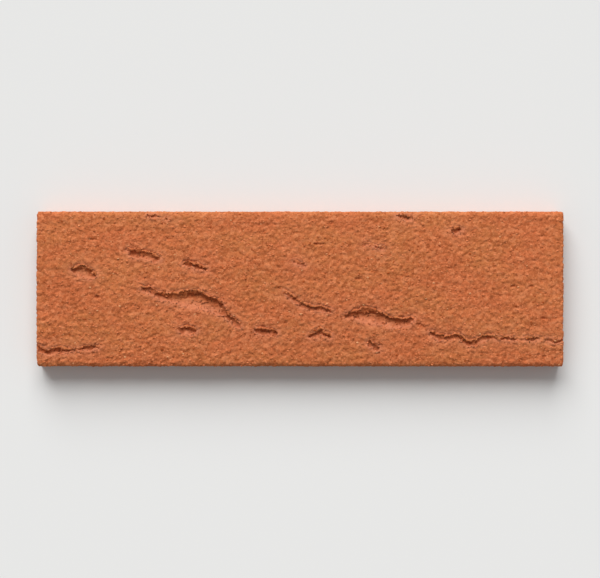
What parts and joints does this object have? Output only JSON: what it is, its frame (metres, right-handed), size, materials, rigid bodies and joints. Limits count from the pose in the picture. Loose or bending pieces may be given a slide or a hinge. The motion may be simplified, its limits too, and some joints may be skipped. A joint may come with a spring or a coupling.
{
  "type": "clinker brick slip",
  "caption": "Thin clinker facing slip with a dragged, creased terracotta face, wire-cut ends and a dovetail-keyed back that takes adhesive.",
  "frame": {"origin": "middle of the keyed back, on the surface the slip lies on", "axes": "+X along the slip, +Y towards the bed edge that is uppermost in a wall, +Z out of the dragged face"},
  "size_m": [0.24, 0.071, 0.014],
  "materials": {
    "fired_clay": "matt, grainy fired clay"
  },
  "bodies": {
    "root": {"brick_slip": "fired_clay"}
  },
  "joints": []
}
